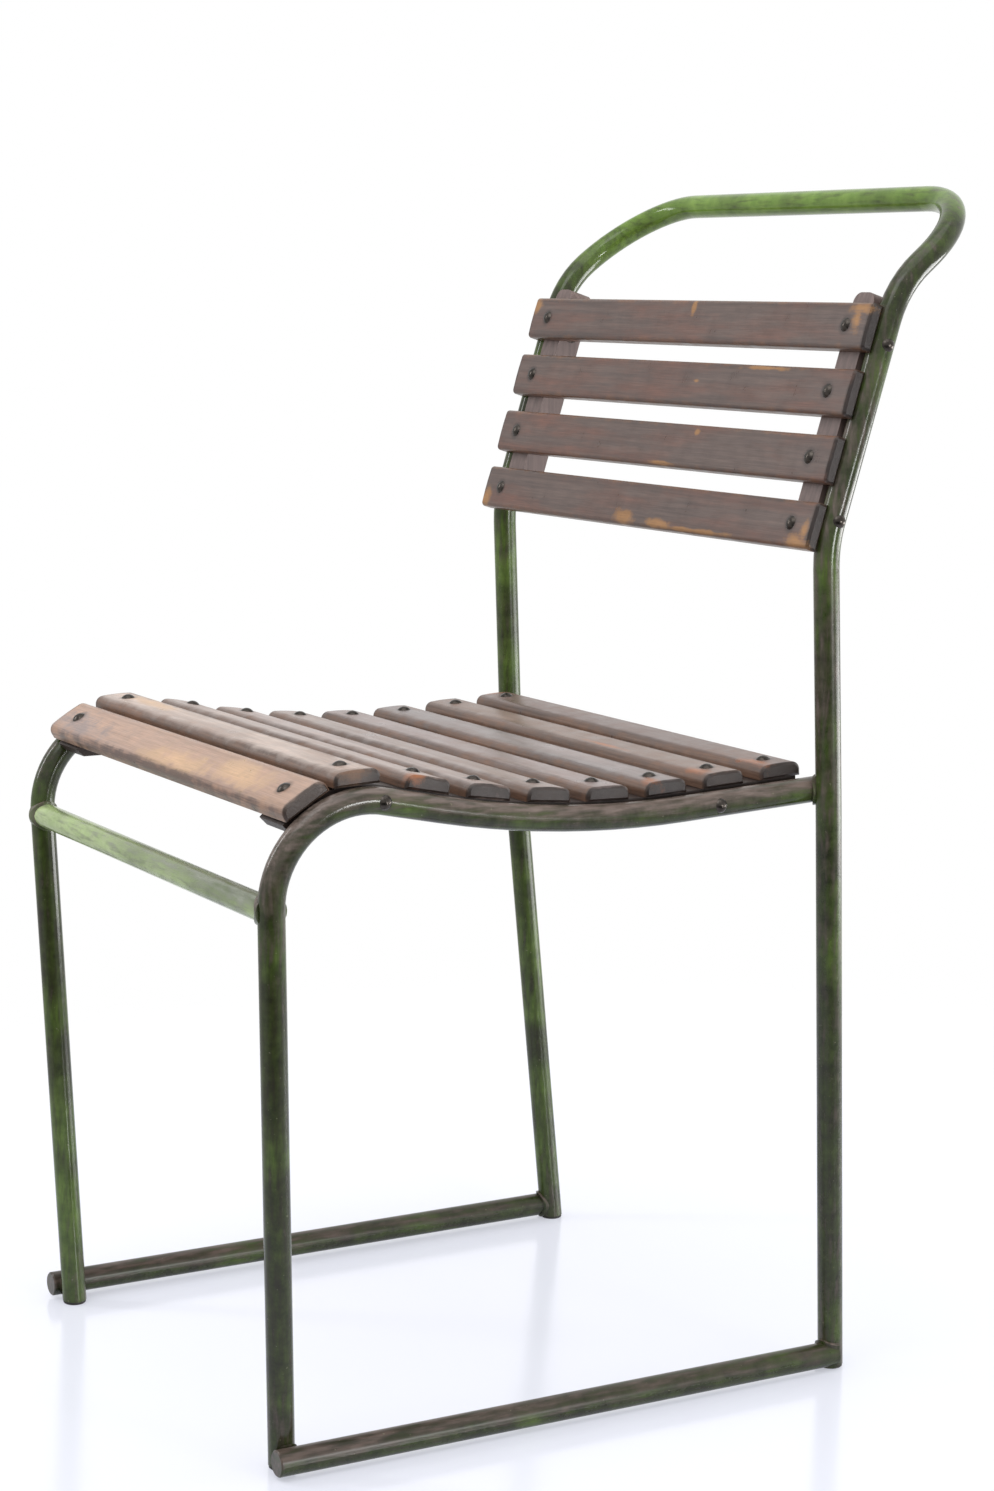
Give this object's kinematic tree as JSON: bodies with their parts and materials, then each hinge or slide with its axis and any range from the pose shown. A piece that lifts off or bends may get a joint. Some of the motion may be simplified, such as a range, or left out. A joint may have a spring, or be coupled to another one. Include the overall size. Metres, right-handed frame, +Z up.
{
  "type": "garden chair",
  "caption": "Armless garden chair: welded frame of bent green steel tube with a rolled-over back hoop and floor runners, wooden slats bolted to battens for a dished seat and leaning back.",
  "frame": {"origin": "on the floor, at the middle of the chair's box", "axes": "+Z up, the sitter faces -Y, +X is the sitter's left"},
  "size_m": [0.4946, 0.5918, 0.8924],
  "materials": {
    "green_enamel": "worn gloss enamel",
    "black_rubber": "matt",
    "batten_wood": "old varnish",
    "slat_wood": "worn varnish",
    "bolt_steel": "dull dark steel"
  },
  "bodies": {
    "root": {"back_hoop": "green_enamel", "front_stretcher": "green_enamel", "frame_welds": "green_enamel", "front_leg_left": "green_enamel", "front_leg_right": "green_enamel", "runner_left": "green_enamel", "runner_right": "green_enamel", "runner_cap_left": "green_enamel", "runner_cap_right": "green_enamel", "foot_plug_front_left": "black_rubber", "foot_plug_front_right": "black_rubber", "foot_plug_rear_left": "black_rubber", "foot_plug_rear_right": "black_rubber", "seat_batten_left": "batten_wood", "seat_batten_right": "batten_wood", "back_batten_left": "batten_wood", "back_batten_right": "batten_wood", "seat_slat_1": "slat_wood", "seat_slat_2": "slat_wood", "seat_slat_3": "slat_wood", "seat_slat_4": "slat_wood", "seat_slat_5": "slat_wood", "seat_slat_6": "slat_wood", "seat_slat_7": "slat_wood", "seat_slat_8": "slat_wood", "seat_slat_9": "slat_wood", "back_slat_1": "slat_wood", "back_slat_2": "slat_wood", "back_slat_3": "slat_wood", "back_slat_4": "slat_wood", "seat_slat_bolts": "bolt_steel", "seat_slat_nuts": "bolt_steel", "back_slat_bolts": "bolt_steel", "back_slat_nuts": "bolt_steel", "seat_rail_bolts": "bolt_steel", "seat_rail_washers": "bolt_steel", "seat_rail_nuts": "bolt_steel", "upright_bolts": "bolt_steel", "upright_washers": "bolt_steel", "upright_nuts": "bolt_steel"}
  },
  "joints": []
}
